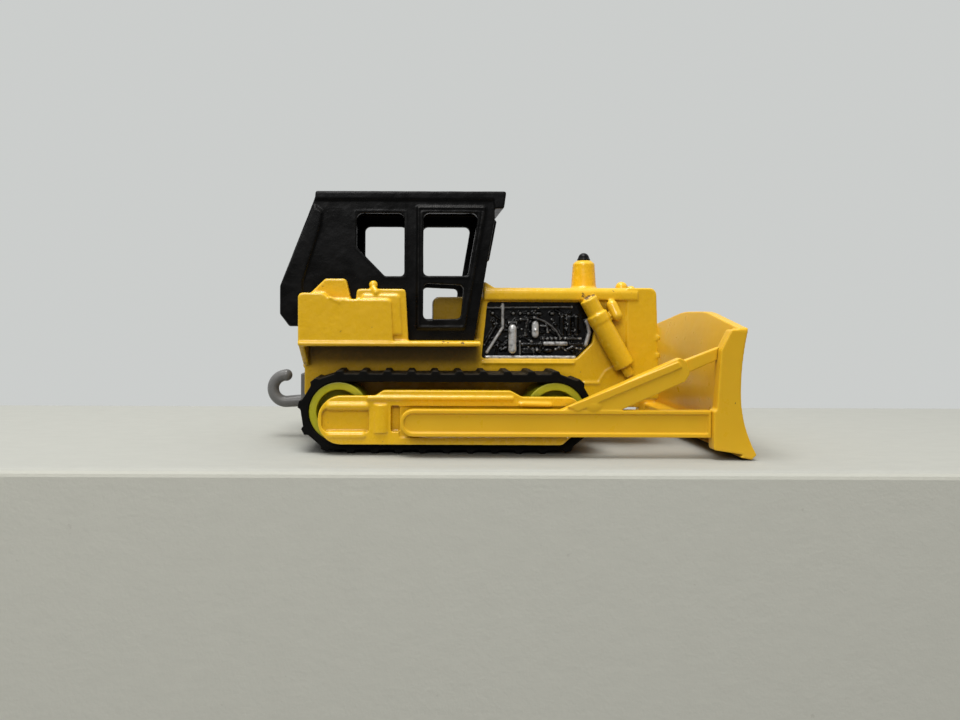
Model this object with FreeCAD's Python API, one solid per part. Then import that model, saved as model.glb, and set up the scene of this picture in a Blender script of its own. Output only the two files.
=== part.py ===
"""Pocket-size die-cast toy bulldozer, as the separate pieces that it comes apart into on a bench.

Millimetres. +X is forward, towards the blade, +Y is the machine's left and +Z is up. The origin is on
the ground, under the middle of the whole toy. The toy is the same on both sides, so each paired piece
is drawn on the right (-Y) and mirrored for the left. "Half" sizes are measured from the middle plane.
"""

import FreeCAD, Part
import math
import os

Vector = FreeCAD.Vector

# ---- driving dimensions --------------------------------------------------------------------------
OVERALL_LENGTH = 80.4
FRONT_X = OVERALL_LENGTH / 2
REAR_X = -OVERALL_LENGTH / 2

# running gear
AXLE_Z = 6.7
REAR_AXLE_X = -25.4
FRONT_AXLE_X = 9.9
AXLE_R = 0.9
AXLE_SEAT = 0.45
WHEEL_R = 4.85
WHEEL_IN = 8.2
WHEEL_OUT = 15.4
RUNNING_GAP = 0.05
BELT_IN = 8.0
BELT_OUT = 15.6
BELT_INNER_R = WHEEL_R + RUNNING_GAP
BELT_BASE = 1.3
CLEAT_HEIGHT = AXLE_Z - BELT_INNER_R - BELT_BASE
CLEAT_COUNT = 27
CLEAT_ROOT = 1.5
CLEAT_TIP = 0.9

# track frames, push arms and blade
FRAME_IN = 15.9
FRAME_OUT = 17.4
ARM_IN = 17.8
ARM_OUT = 19.6
PIVOT_X = -13.2
PIVOT_Z = 5.5
PIVOT_R = 1.2
ARM_HALF_HEIGHT = 2.1
ARM_END_X = 33.3
ARM_RIM = 0.6
ARM_WEB_DEPTH = 0.35
BLADE_HALF = 20.5
END_PLATE_IN = 18.3
BLADE_SIDE_Z = 20.6
BLADE_CREST_Z = 23.3
BLADE_CREST_HALF = 5.4
BLADE_CREST_R = 25.0
BLADE_WALL = 1.5

# body
HULL_HALF = 7.6
HULL_BOTTOM = 8.0
WALL = 1.2
DECK_Z = 18.2
DECK_THICK = 0.9
FENDER_HALF = 14.4
BODY_REAR_X = -32.3
BODY_FRONT_X = 29.2
HOOD_Z = 27.3
HOOD_CAP_HALF = 8.2
HOOD_CAP_Z = 25.1
HOOD_CAP_FRONT_X = 25.4
RADIATOR_HALF = 7.95
RADIATOR_REAR_X = 23.6
ENGINE_FACE = 6.2
ENGINE_PLATE_LOW = 14.6
ENGINE_PLATE_HIGH = 25.2
STACK_X = 17.85
STACK_TOP = 32.6

# cab
CAB_HALF = 10.2
CAB_WALL = 1.0
ROOF_HALF = 10.45
ROOF_TOP = 43.5
ROOF_THICK = 1.4

# belly
CHASSIS_BOTTOM = 2.4
CHASSIS_REAR_X = -30.8
CHASSIS_FRONT_X = 14.0
BASE_BOTTOM = 1.5
RIVET_XS = (-18.0, 3.0)
RIVET_SHANK_R = 0.8
RIVET_HEAD_R = 1.7
RIVET_HEAD = 0.4
POST_R = 1.9

# tow hook
HOOK_OUTER_R = 3.5
HOOK_INNER_R = 1.1
HOOK_THICK = 2.2
HOOK_X = REAR_X + HOOK_OUTER_R
HOOK_Z = 8.95


# ---- drawing helpers -----------------------------------------------------------------------------
def box(x0, x1, y0, y1, z0, z1):
    return Part.makeBox(x1 - x0, y1 - y0, z1 - z0, Vector(x0, y0, z0))


def soft_box(x0, x1, y0, y1, z0, z1, radius):
    """A box with every edge rounded."""
    solid = box(x0, x1, y0, y1, z0, z1)
    return solid.makeFillet(radius, solid.Edges)


def rod(start, end, radius):
    start, end = Vector(*start), Vector(*end)
    axis = end - start
    return Part.makeCylinder(radius, axis.Length, start, axis)


def ball(centre, radius):
    return Part.makeSphere(radius, Vector(*centre))


def capsule(start, end, radius):
    return join([rod(start, end, radius), ball(start, radius), ball(end, radius)])


def join(solids):
    solids = list(solids)
    if len(solids) == 1:
        return solids[0]
    return solids[0].multiFuse(solids[1:]).removeSplitter()


def mirrored(shape):
    """The same shape on the machine's other side."""
    return shape.mirror(Vector(0, 0, 0), Vector(0, 1, 0))


def both_sides(shape):
    return [shape, mirrored(shape)]


def outline(corners):
    """A closed flat wire through (u, v) or (u, v, radius) corners, as points and arcs on Z = 0."""
    corners = [(c[0], c[1], c[2] if len(c) > 2 else 0.0) for c in corners]
    runs = []
    for i, (u, v, radius) in enumerate(corners):
        here = Vector(u, v, 0)
        before = Vector(*corners[i - 1][:2], 0)
        after = Vector(*corners[(i + 1) % len(corners)][:2], 0)
        if not radius:
            runs.append((here, None, here))
            continue
        back, ahead = (before - here).normalize(), (after - here).normalize()
        half = math.acos(max(-1.0, min(1.0, back.dot(ahead)))) / 2
        reach = radius / math.tan(half)
        bisector = (back + ahead).normalize()
        middle = here + bisector * (radius / math.sin(half) - radius)
        runs.append((here + back * reach, middle, here + ahead * reach))
    edges = []
    for i, (start, middle, end) in enumerate(runs):
        if middle is not None:
            edges.append(Part.Arc(start, middle, end).toShape())
        follows = runs[(i + 1) % len(runs)][0]
        if (follows - end).Length > 1e-6:
            edges.append(Part.LineSegment(end, follows).toShape())
    return Part.Wire(edges)


def inset(corners, gap):
    """The corners of a convex outline, each drawn in towards its middle by the gap."""
    middle_u = sum(c[0] for c in corners) / len(corners)
    middle_v = sum(c[1] for c in corners) / len(corners)
    return [
        (c[0] - math.copysign(gap, c[0] - middle_u), c[1] - math.copysign(gap, c[1] - middle_v), *c[2:])
        for c in corners
    ]


def side_profile(corners, y0, y1):
    """Corners are (x, z) or (x, z, radius), seen from the right, filled and stretched from y0 to y1."""
    face = Part.Face(outline(corners))
    face.rotate(Vector(0, 0, 0), Vector(1, 0, 0), 90)
    face.translate(Vector(0, y0, 0))
    return face.extrude(Vector(0, y1 - y0, 0))


def end_profile(corners, x0, x1):
    """Corners are (y, z) or (y, z, radius), seen from the front, filled and stretched from x0 to x1."""
    face = Part.Face(outline(corners))
    face.rotate(Vector(0, 0, 0), Vector(1, 1, 1), 120)
    face.translate(Vector(x0, 0, 0))
    return face.extrude(Vector(x1 - x0, 0, 0))


def symmetric(corners):
    """The end profile whose right half, from the bottom up, is given."""
    return [*corners, *[(-c[0], *c[1:]) for c in reversed(corners)]]


# ---- body casting --------------------------------------------------------------------------------
ENGINE_OPENING = [
    (-1.5, 15.0, 0.5),
    (15.0, 15.0, 0.8),
    (17.7, 17.7, 0.8),
    (18.2, 20.9, 0.8),
    (15.9, 24.8, 0.8),
    (-0.5, 24.8, 0.4),
]
HOOD_REAR_LOW_X = -2.7
HOOD_REAR_HIGH_X = -1.2


def hood():
    """Engine cover: side walls, an overhanging top cap, a cowl ridge and the wider radiator guard."""
    walls = side_profile(
        [
            (HOOD_REAR_LOW_X, HULL_BOTTOM),
            (BODY_FRONT_X - 0.2, HULL_BOTTOM),
            (BODY_FRONT_X - 0.6, HOOD_Z - 0.6),
            (HOOD_REAR_HIGH_X, HOOD_Z - 0.6),
            (HOOD_REAR_LOW_X, DECK_Z),
        ],
        -HULL_HALF,
        HULL_HALF,
    )
    cap_section = symmetric([(-HOOD_CAP_HALF, HOOD_CAP_Z, 0.3), (-HOOD_CAP_HALF, HOOD_Z, 1.1)])
    cap = end_profile(cap_section, HOOD_REAR_HIGH_X, HOOD_CAP_FRONT_X)
    guard = side_profile(
        [
            (RADIATOR_REAR_X, HULL_BOTTOM),
            (BODY_FRONT_X, HULL_BOTTOM, 0.5),
            (BODY_FRONT_X - 0.5, HOOD_Z, 1.2),
            (RADIATOR_REAR_X, HOOD_Z),
        ],
        -RADIATOR_HALF,
        RADIATOR_HALF,
    )
    cowl = side_profile(
        [
            (HOOD_REAR_HIGH_X - 0.2, HOOD_Z - 1.0),
            (0.9, HOOD_Z - 1.0),
            (0.7, HOOD_Z),
            (-0.9, 28.3, 0.2),
            (-1.15, 28.3, 0.1),
        ],
        -HULL_HALF,
        HULL_HALF,
    )
    return [walls, cap, guard, cowl]


def rear_hull():
    """The box between the belts under the deck, with the rear wall that flares out to the fenders."""
    hull = side_profile(
        [
            (BODY_REAR_X + 0.1, HULL_BOTTOM, 1.0),
            (0.0, HULL_BOTTOM),
            (0.0, DECK_Z - 0.1),
            (BODY_REAR_X + 0.1, DECK_Z - 0.1),
        ],
        -HULL_HALF,
        HULL_HALF,
    )
    flare = symmetric(
        [(-HULL_HALF, 13.9), (-8.4, 13.9, 0.5), (-13.6, 17.3), (-13.6, 17.8), (-HULL_HALF, 17.8)]
    )
    rear_wall = end_profile(flare, BODY_REAR_X, BODY_REAR_X + 1.0)
    boss = capsule((BODY_REAR_X - 0.6, 0, 13.2), (BODY_REAR_X + 1.0, 0, 13.2), 0.75)
    return [hull, rear_wall, boss]


def deck():
    """Fender deck over both belts, with a rounded lip."""
    section = symmetric(
        [(-FENDER_HALF, DECK_Z - DECK_THICK, 0.35), (-FENDER_HALF, DECK_Z, 0.4)]
    )
    return [end_profile(section, BODY_REAR_X, -2.2)]


def fender_boxes():
    """Right-hand fuel tank, rear hump and battery box, which stand on the deck outside the cab."""
    inner = -CAB_HALF - 0.2
    bottom = DECK_Z - 0.4
    tank = side_profile(
        [
            (BODY_REAR_X, bottom),
            (BODY_REAR_X, 26.1, 0.8),
            (-28.2, 26.1, 0.6),
            (-27.0, 25.1, 0.6),
            (-17.0, 25.1, 0.7),
            (-16.6, bottom),
        ],
        -FENDER_HALF + 0.2,
        inner,
    )
    hump = side_profile(
        [
            (-30.4, bottom),
            (-30.4, 26.2),
            (-28.0, 28.5, 0.4),
            (-24.6, 28.5, 0.5),
            (-23.7, 25.0),
            (-23.6, bottom),
        ],
        -12.6,
        inner,
    )
    battery = side_profile(
        [(-22.9, bottom), (-22.7, 26.8, 0.6), (-14.6, 26.8, 0.6), (-14.1, bottom)],
        -13.4,
        inner,
    )
    panel = side_profile(
        [(-21.8, 19.2), (-21.8, 25.8, 0.5), (-15.6, 25.8, 0.5), (-15.2, 19.2)],
        -13.75,
        -13.0,
    )
    neck = rod((-20.0, -12.3, 26.4), (-20.0, -12.3, 27.3), 0.5)
    filler = ball((-20.0, -12.3, 27.5), 0.75)
    return [tank, hump, battery, panel, neck, filler]


def lift_cylinder():
    """Right-hand blade lift cylinder and the side lamp next to it, cast against the side of the hood."""
    top = Vector(16.6, -9.0, 25.3)
    bottom = Vector(22.9, -9.0, 13.9)
    along = (bottom - top).normalize()

    def at(distance):
        return tuple(top + along * distance)

    length = (bottom - top).Length
    head = rod(at(0), at(4.6), 1.5)
    collar = rod(at(2.9), at(4.5), 1.85)
    barrel = rod(at(4.3), at(length), 1.75)
    stem = rod(at(length - 0.5), at(length + 1.9), 0.85)
    lamp = capsule((20.8, -8.6, 24.3), (21.5, -9.2, 22.5), 0.95)
    lamp_arm = box(20.4, 21.6, -8.6, -HULL_HALF + 0.2, 22.8, 24.2)
    return [head, collar, barrel, stem, lamp, lamp_arm]


def stack_and_caps():
    """Tapered exhaust stack in a flared foot, and two filler caps, along the top of the hood."""
    shoulder_z = STACK_TOP - 0.6
    stack = Part.makeCone(2.3, 1.95, shoulder_z - HOOD_Z + 0.2, Vector(STACK_X, 0, HOOD_Z - 0.2))
    shoulder = Part.makeCone(1.95, 1.25, STACK_TOP - shoulder_z, Vector(STACK_X, 0, shoulder_z))
    foot = Part.makeCone(3.3, 2.3, 0.7, Vector(STACK_X, 0, HOOD_Z - 0.3))
    socket = rod((STACK_X, 0, STACK_TOP - 2.2), (STACK_X, 0, STACK_TOP + 1.0), 0.8)
    cap = capsule((24.8, 0, HOOD_Z - 0.7), (24.8, 0, HOOD_Z + 0.35), 1.1)
    valve = capsule((26.6, 0, HOOD_Z - 0.7), (26.6, 0, HOOD_Z - 0.1), 0.8)
    pieces = join([stack, shoulder, foot]).cut(socket)
    return [pieces, cap, valve]


def operator_station():
    """Dash behind the cowl and a plain moulded seat, both cast on the deck inside the cab."""
    dash = side_profile(
        [(-9.9, DECK_Z - 0.3), (-9.9, 25.7, 1.0), (-1.5, 25.7), (-2.7, DECK_Z - 0.3)], -5.5, 5.5
    )
    cushion = soft_box(-19.6, -14.0, -3.2, 3.2, DECK_Z - 0.8, 21.6, 0.7)
    back = side_profile(
        [(-19.9, DECK_Z - 0.3), (-20.7, 28.2, 0.6), (-18.9, 28.2, 0.6), (-17.9, DECK_Z - 0.3)],
        -3.0,
        3.0,
    )
    return [dash, cushion, back]


def rivet_posts():
    tops = (DECK_Z - 0.5, HOOD_Z - 1.0)
    return [rod((x, 0, HULL_BOTTOM), (x, 0, top), POST_R) for x, top in zip(RIVET_XS, tops)]


def body_casting():
    shell = join([*hood(), *rear_hull(), *deck()])
    under_deck = box(BODY_REAR_X + WALL, 0.2, -HULL_HALF + WALL, HULL_HALF - WALL, HULL_BOTTOM - 1, 17.1)
    under_hood = side_profile(
        [
            (0.1, HULL_BOTTOM - 1),
            (BODY_FRONT_X - 1.6, HULL_BOTTOM - 1),
            (BODY_FRONT_X - 1.9, HOOD_Z - 1.6),
            (0.1, HOOD_Z - 1.6),
        ],
        -HULL_HALF + WALL,
        HULL_HALF - WALL,
    )
    openings = side_profile(ENGINE_OPENING, -HULL_HALF - 1, HULL_HALF + 1)
    grille_hole = box(BODY_FRONT_X - 2.5, BODY_FRONT_X + 1, -6.0, 6.0, 10.6, 24.6)
    shell = shell.cut(join([under_deck, under_hood, openings, grille_hole]))
    hinge_nubs = [
        rod((BODY_FRONT_X - 0.35, y, z - 0.4), (BODY_FRONT_X - 0.35, y, z + 0.4), 0.6)
        for y in (-7.5, 7.5)
        for z in (12.5, 15.6, 18.7)
    ]
    one_side = [*fender_boxes(), *lift_cylinder()]
    details = [piece for solid in one_side for piece in both_sides(solid)]
    whole = join([shell, *details, *stack_and_caps(), *operator_station(), *rivet_posts(), *hinge_nubs])
    holes = [rod((x, 0, HULL_BOTTOM - 1), (x, 0, HULL_BOTTOM + 5), RIVET_SHANK_R + 0.02) for x in RIVET_XS]
    return whole.cut(join(holes))


# ---- engine, grille and exhaust ------------------------------------------------------------------
def engine_insert():
    """Right-hand black engine plate, seen through the hood's opening, with the engine in relief."""
    back = -HULL_HALF + WALL + 0.02
    plate = box(0.2, 18.9, back, back + 0.8, ENGINE_PLATE_LOW, ENGINE_PLATE_HIGH)
    filling = side_profile(
        inset(ENGINE_OPENING, 0.05),
        -ENGINE_FACE,
        back + 0.8,
    )

    def raised(x0, x1, z0, z1, height):
        return box(x0, x1, -ENGINE_FACE - height, -ENGINE_FACE + 0.3, z0, z1)

    blocks = [raised(0.4, 14.6, 24.0, 24.5, 0.6), raised(2.3, 2.8, 20.2, 24.3, 0.5)]
    blocks += [raised(x, x + 0.9, 19.2, 22.6, 0.7) for x in (11.6, 13.0, 14.4)]
    blocks += [
        rod((4.1, -ENGINE_FACE, 16.4), (4.1, -ENGINE_FACE, 20.6), 0.8),
        rod((7.9, -ENGINE_FACE + 0.3, 20.3), (7.9, -ENGINE_FACE - 0.8, 20.3), 1.4),
        rod((5.4, -ENGINE_FACE, 18.0), (15.2, -ENGINE_FACE, 18.0), 0.5),
        rod((0.2, -ENGINE_FACE, 16.2), (3.4, -ENGINE_FACE, 19.8), 0.5),
        rod((10.5, -ENGINE_FACE, 16.6), (13.9, -ENGINE_FACE, 16.6), 0.6),
    ]
    filling = join([filling, *blocks])
    return join([plate, filling]).common(
        box(-3, 20, -HULL_HALF + 0.2, 0, ENGINE_PLATE_LOW, ENGINE_PLATE_HIGH)
    )


def radiator_grille():
    """Black grille behind the radiator guard's window: a frame with slats."""
    back = BODY_FRONT_X - 2.6
    front = BODY_FRONT_X - 0.9
    pane = box(back - 0.8, back + 0.4, -6.2, 6.2, 10.3, 24.9)
    rim = box(back, front, -5.95, 5.95, 10.65, 24.55).cut(box(back, front + 1, -5.2, 5.2, 11.4, 23.8))
    slats = [box(back, front - 0.3, -5.4, 5.4, z, z + 0.6) for z in [12.3 + 1.4 * i for i in range(8)]]
    post = box(back, front - 0.1, -0.4, 0.4, 11.2, 24.0)
    window = box(back - 2, front + 1, -6.4, 6.4, 10.2, 25.0)
    inside = box(back - 2, BODY_FRONT_X - 1.95, -6.35, 6.35, 10.0, 25.2)
    through = box(back - 2, front + 1, -5.97, 5.97, 10.62, 24.58)
    return join([pane, rim, *slats, post]).common(window).common(join([inside, through]))


def exhaust_tip():
    """Black outlet pressed into the top of the stack."""
    seat = STACK_TOP + 0.02
    peg = rod((STACK_X, 0, STACK_TOP - 2.1), (STACK_X, 0, seat + 0.03), 0.78)
    flange = Part.makeCone(1.25, 1.0, 0.5, Vector(STACK_X, 0, seat))
    dome = ball((STACK_X, 0, seat + 0.38), 1.0)
    above = box(STACK_X - 2, STACK_X + 2, -2, 2, seat, seat + 4)
    return join([peg, join([flange, dome]).common(above)])


# ---- cab -----------------------------------------------------------------------------------------
CAB_OUTLINE = [
    (-29.9, ROOF_TOP - 0.5),
    (0.4, ROOF_TOP - 0.5),
    (0.5, 39.0),
    (-3.0, DECK_Z),
    (-31.9, DECK_Z),
    (-32.4, 20.5, 0.3),
    (-34.4, 20.5, 0.4),
    (-36.0, 22.6, 0.3),
    (-36.0, 27.4, 0.3),
]
CAB_CAVITY = [
    (-29.0, ROOF_TOP - ROOF_THICK),
    (-0.7, ROOF_TOP - ROOF_THICK),
    (-0.6, 39.0),
    (-4.1, DECK_Z - 1),
    (-31.0, DECK_Z - 1),
    (-31.0, 22.2),
    (-34.2, 22.2),
    (-34.9, 23.2),
    (-34.9, 27.2),
]
DOOR_WINDOW = [(-11.65, 29.15, 0.8), (-4.1, 29.15, 0.8), (-2.3, 39.8, 1.0), (-11.65, 39.8, 1.0)]
LOWER_WINDOW = [(-11.65, 21.7, 0.8), (-5.3, 21.9, 0.8), (-4.75, 27.6, 0.8), (-11.65, 27.9, 0.8)]
REAR_WINDOW = [
    (-18.2, 29.1, 0.5),
    (-14.9, 29.1, 0.7),
    (-14.9, 39.8, 1.0),
    (-23.0, 39.8, 1.0),
    (-23.0, 34.0, 0.8),
]
DOOR_PANEL = [(-12.6, 20.3, 0.4), (-4.7, 20.3, 0.4), (-1.1, 40.9, 0.4), (-12.6, 40.9, 0.4)]


def cab_shell():
    """One black moulding: roof, side walls with door panels, raked front and the swept rear guard."""
    shell = side_profile(CAB_OUTLINE, -CAB_HALF, CAB_HALF)
    roof = side_profile(
        [
            (-30.0, ROOF_TOP, 0.3),
            (2.4, ROOF_TOP, 0.3),
            (2.0, 40.6, 0.3),
            (0.5, 40.6),
            (0.3, ROOF_TOP - ROOF_THICK),
            (-30.1, ROOF_TOP - ROOF_THICK),
        ],
        -ROOF_HALF,
        ROOF_HALF,
    )
    guard_edge = side_profile(
        [
            (-30.2, 41.0),
            (-28.9, 40.0, 0.5),
            (-29.2, 37.6, 0.5),
            (-32.2, 28.0, 0.5),
            (-32.2, 20.6),
            (-34.3, 20.6, 0.4),
            (-35.9, 22.6, 0.3),
            (-35.9, 27.4, 0.3),
        ],
        -CAB_HALF - 0.35,
        CAB_HALF + 0.35,
    )
    doors = [
        side_profile(DOOR_PANEL, side * (CAB_HALF + 0.15) - 0.15, side * (CAB_HALF + 0.15) + 0.15)
        for side in (-1, 1)
    ]
    screen_frame = side_profile(
        [(0.7, 38.9), (0.95, 38.6), (-0.35, 31.8), (-0.7, 31.8), (-1.3, 33.0), (-0.3, 38.9)],
        -8.6,
        8.6,
    )
    cavity = side_profile(CAB_CAVITY, -CAB_HALF + CAB_WALL, CAB_HALF - CAB_WALL)
    windows = [
        side_profile(shape, -CAB_HALF - 1, CAB_HALF + 1)
        for shape in (DOOR_WINDOW, LOWER_WINDOW, REAR_WINDOW)
    ]
    windscreen = side_profile(
        [(-3.0, 29.6), (2.0, 29.6), (3.0, 39.6), (-1.8, 39.6)], -7.4, 7.4
    )
    hood_notch = side_profile(
        [(-6.0, DECK_Z - 1), (1.5, DECK_Z - 1), (1.5, 28.6), (-6.0, 28.6)], -7.8, 7.8
    )
    back_window = end_profile(
        symmetric([(-6.4, 29.0, 0.8), (-6.4, 38.6, 0.8)]), -38.0, -24.0
    )
    roof_recess = end_profile(
        symmetric([(-9.2, ROOF_TOP - 0.35), (-9.2, ROOF_TOP + 1)]), -28.6, 0.9
    )
    solid = join([shell, roof, guard_edge, *doors, screen_frame])
    return solid.cut(join([cavity, windscreen, *windows, hood_notch, back_window])).cut(roof_recess)


# ---- belly ---------------------------------------------------------------------------------------
def chassis_casting():
    """Box between the belts that carries the axles, with a cross beam to each track frame."""
    tub = box(CHASSIS_REAR_X, CHASSIS_FRONT_X, -HULL_HALF, HULL_HALF, CHASSIS_BOTTOM, HULL_BOTTOM)
    pocket = box(
        CHASSIS_REAR_X + WALL, CHASSIS_FRONT_X - WALL,
        -HULL_HALF + WALL, HULL_HALF - WALL, CHASSIS_BOTTOM + 1.0, HULL_BOTTOM + 1,
    )
    beams = [
        side_profile([(x - 3, 3.2, 0.5), (x + 3, 3.2, 0.5), (x + 3, 9.2, 0.5), (x - 3, 9.2, 0.5)], y0, y1)
        for x in (-15.0, -2.0)
        for y0, y1 in ((-FRAME_IN, -HULL_HALF - 0.02), (HULL_HALF + 0.02, FRAME_IN))
    ]
    roots = [
        box(x - 2.9, x + 2.9, y0, y1, 3.3, HULL_BOTTOM)
        for x in (-15.0, -2.0)
        for y0, y1 in ((-HULL_HALF - 0.5, -HULL_HALF + 0.5), (HULL_HALF - 0.5, HULL_HALF + 0.5))
    ]
    pillars = [rod((x, 0, CHASSIS_BOTTOM), (x, 0, HULL_BOTTOM), POST_R) for x in RIVET_XS]
    whole = join([tub.cut(pocket), *beams, *roots, *pillars])
    holes = [
        rod((x, -HULL_HALF - 1, AXLE_Z), (x, HULL_HALF + 1, AXLE_Z), AXLE_R + 0.02)
        for x in (REAR_AXLE_X, FRONT_AXLE_X)
    ]
    holes += [rod((x, 0, 0), (x, 0, HULL_BOTTOM + 1), RIVET_SHANK_R + 0.02) for x in RIVET_XS]
    return whole.cut(join(holes))


FRAME_OUTLINE = [
    (-28.5, 1.75, 3.7),
    (10.6, 1.75, 1.0),
    (13.4, 4.2, 1.2),
    (13.4, 9.4, 1.8),
    (4.2, 9.4, 1.0),
    (2.4, 10.4, 1.0),
    (-18.0, 10.4, 1.0),
    (-19.4, 9.5, 1.0),
    (-28.5, 9.5, 3.7),
]


def track_frame():
    """Right-hand track frame: a cover plate outside the belt with beads, a pocket and a slot."""
    plate = side_profile(FRAME_OUTLINE, -FRAME_OUT, -FRAME_IN)
    pocket = side_profile(
        [(-27.9, 3.7, 1.2), (-20.3, 3.7, 0.5), (-20.3, 7.6, 0.5), (-27.9, 7.6, 1.2)],
        -FRAME_OUT - 1,
        -FRAME_OUT + 0.7,
    )
    slot = side_profile(
        [(-16.8, 3.8, 0.3), (-15.4, 3.8, 0.3), (-15.4, 8.0, 0.3), (-16.8, 8.0, 0.3)],
        -FRAME_OUT - 1,
        -FRAME_OUT + 1.0,
    )
    channel = side_profile(
        [(-15.5, 2.9, 0.4), (12.0, 2.9, 0.8), (12.6, 7.9, 0.8), (-15.5, 7.9, 0.4)],
        -FRAME_OUT - 1,
        -FRAME_OUT + 0.3,
    )
    low_bead = capsule((-26.6, -FRAME_OUT + 0.4, 3.2), (-21.3, -FRAME_OUT + 0.4, 3.2), 0.7)
    high_bead = capsule((-26.6, -FRAME_OUT + 0.4, 7.9), (-20.8, -FRAME_OUT + 0.4, 7.9), 0.75)
    rail = rod((-20.6, -FRAME_OUT + 0.15, 9.2), (2.8, -FRAME_OUT + 0.15, 9.2), 0.45)
    boss = rod((-18.4, -FRAME_OUT + 1.2, 3.6), (-18.4, -FRAME_OUT + 1.2, 8.2), 1.7)
    oval = capsule((4.0, -FRAME_OUT + 0.2, 8.3), (8.6, -FRAME_OUT + 0.2, 8.2), 0.5)
    keep = box(-40, 40, -ARM_IN - 0.1, -FRAME_IN, 0, 20)
    clear = box(-PIVOT_R + PIVOT_X - 2.0, 20, -ARM_IN - 1, -FRAME_OUT, 0, 7.9)
    plate = join([plate.cut(join([pocket, slot, channel])), low_bead, high_bead, rail, boss, oval])
    plate = plate.common(keep).cut(clear)
    seats = [
        rod((x, -FRAME_IN - AXLE_SEAT, AXLE_Z), (x, -FRAME_IN + 1, AXLE_Z), AXLE_R + 0.02)
        for x in (REAR_AXLE_X, FRONT_AXLE_X)
    ]
    pivot_hole = rod(
        (PIVOT_X, -FRAME_OUT - 1, PIVOT_Z), (PIVOT_X, -FRAME_IN + 1, PIVOT_Z), PIVOT_R + RUNNING_GAP
    )
    return plate.cut(join([*seats, pivot_hole]))


def base_plate():
    """Grey floor plate under the chassis, with a clipped front corner at each side."""
    plate = side_profile(
        [
            (CHASSIS_REAR_X, BASE_BOTTOM, 0.3),
            (CHASSIS_FRONT_X, BASE_BOTTOM, 0.3),
            (CHASSIS_FRONT_X, CHASSIS_BOTTOM),
            (CHASSIS_REAR_X, CHASSIS_BOTTOM),
        ],
        -HULL_HALF,
        HULL_HALF,
    )
    holes = [rod((x, 0, 0), (x, 0, CHASSIS_BOTTOM + 1), RIVET_SHANK_R + 0.02) for x in RIVET_XS]
    seats = [
        rod((x, 0, 0), (x, 0, BASE_BOTTOM + RIVET_HEAD + 0.02), RIVET_HEAD_R + 0.02) for x in RIVET_XS
    ]
    return plate.cut(join([*holes, *seats]))


def rivets():
    """Two rivets, each with a flush head in the base plate and its shank in a body post."""
    solids = []
    for x in RIVET_XS:
        head = rod((x, 0, BASE_BOTTOM), (x, 0, BASE_BOTTOM + RIVET_HEAD), RIVET_HEAD_R)
        shank = rod((x, 0, BASE_BOTTOM + 0.1), (x, 0, HULL_BOTTOM + 4.5), RIVET_SHANK_R)
        solids.append(join([head, shank]))
    return Part.makeCompound(solids)


def tow_hook():
    """Grey flat-sided hook on an upright bracket, with a tongue that sits against the chassis."""
    centre = Vector(HOOK_X, 0, HOOK_Z)

    def on_bend(degrees, radius):
        angle = math.radians(degrees)
        return centre + Vector(radius * math.cos(angle), 0, radius * math.sin(angle))

    foot = BODY_REAR_X - 0.6
    outer_low, outer_high = on_bend(-90, HOOK_OUTER_R), on_bend(97, HOOK_OUTER_R)
    inner_high, inner_low = on_bend(165, HOOK_INNER_R), on_bend(-80, HOOK_INNER_R)
    tip_low = centre + Vector(0.4, 0, 2.3)
    shank_top = Vector(foot, 0, 8.6)
    shank_bottom = Vector(foot, 0, outer_low.z)
    edges = [
        Part.LineSegment(shank_bottom, outer_low).toShape(),
        Part.Arc(outer_low, on_bend(183, HOOK_OUTER_R), outer_high).toShape(),
        Part.Arc(outer_high, centre + Vector(0.55, 0, 3.1), tip_low).toShape(),
        Part.LineSegment(tip_low, inner_high).toShape(),
        Part.Arc(inner_high, on_bend(222, HOOK_INNER_R), inner_low).toShape(),
        Part.LineSegment(inner_low, shank_top).toShape(),
        Part.LineSegment(shank_top, shank_bottom).toShape(),
    ]
    face = Part.Face(Part.Wire(edges))
    face.translate(Vector(0, -HOOK_THICK / 2, 0))
    hook = face.extrude(Vector(0, HOOK_THICK, 0))
    bracket = soft_box(BODY_REAR_X - 1.4, BODY_REAR_X - 0.02, -2.2, 2.2, 5.3, 11.8, 0.3)
    tongue = box(BODY_REAR_X - 0.6, CHASSIS_REAR_X - 0.02, -1.6, 1.6, 5.4, 7.6)
    return join([hook, bracket, tongue])


# ---- running gear --------------------------------------------------------------------------------
def axle(x):
    half = FRAME_IN + AXLE_SEAT - 0.05
    return rod((x, -half, AXLE_Z), (x, half, AXLE_Z), AXLE_R)


def wheel(x):
    """Right-hand roller wheel: a rim, a deeply dished outer face and a hub."""
    roller = rod((x, -WHEEL_OUT, AXLE_Z), (x, -WHEEL_IN, AXLE_Z), WHEEL_R)
    dish = rod((x, -WHEEL_OUT - 1, AXLE_Z), (x, -WHEEL_OUT + 2.5, AXLE_Z), 3.6)
    hub = rod((x, -WHEEL_OUT, AXLE_Z), (x, -WHEEL_IN, AXLE_Z), 1.7)
    bore = rod((x, -WHEEL_OUT - 1, AXLE_Z), (x, 0, AXLE_Z), AXLE_R + RUNNING_GAP)
    return join([roller.cut(dish), hub]).cut(bore)


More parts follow.
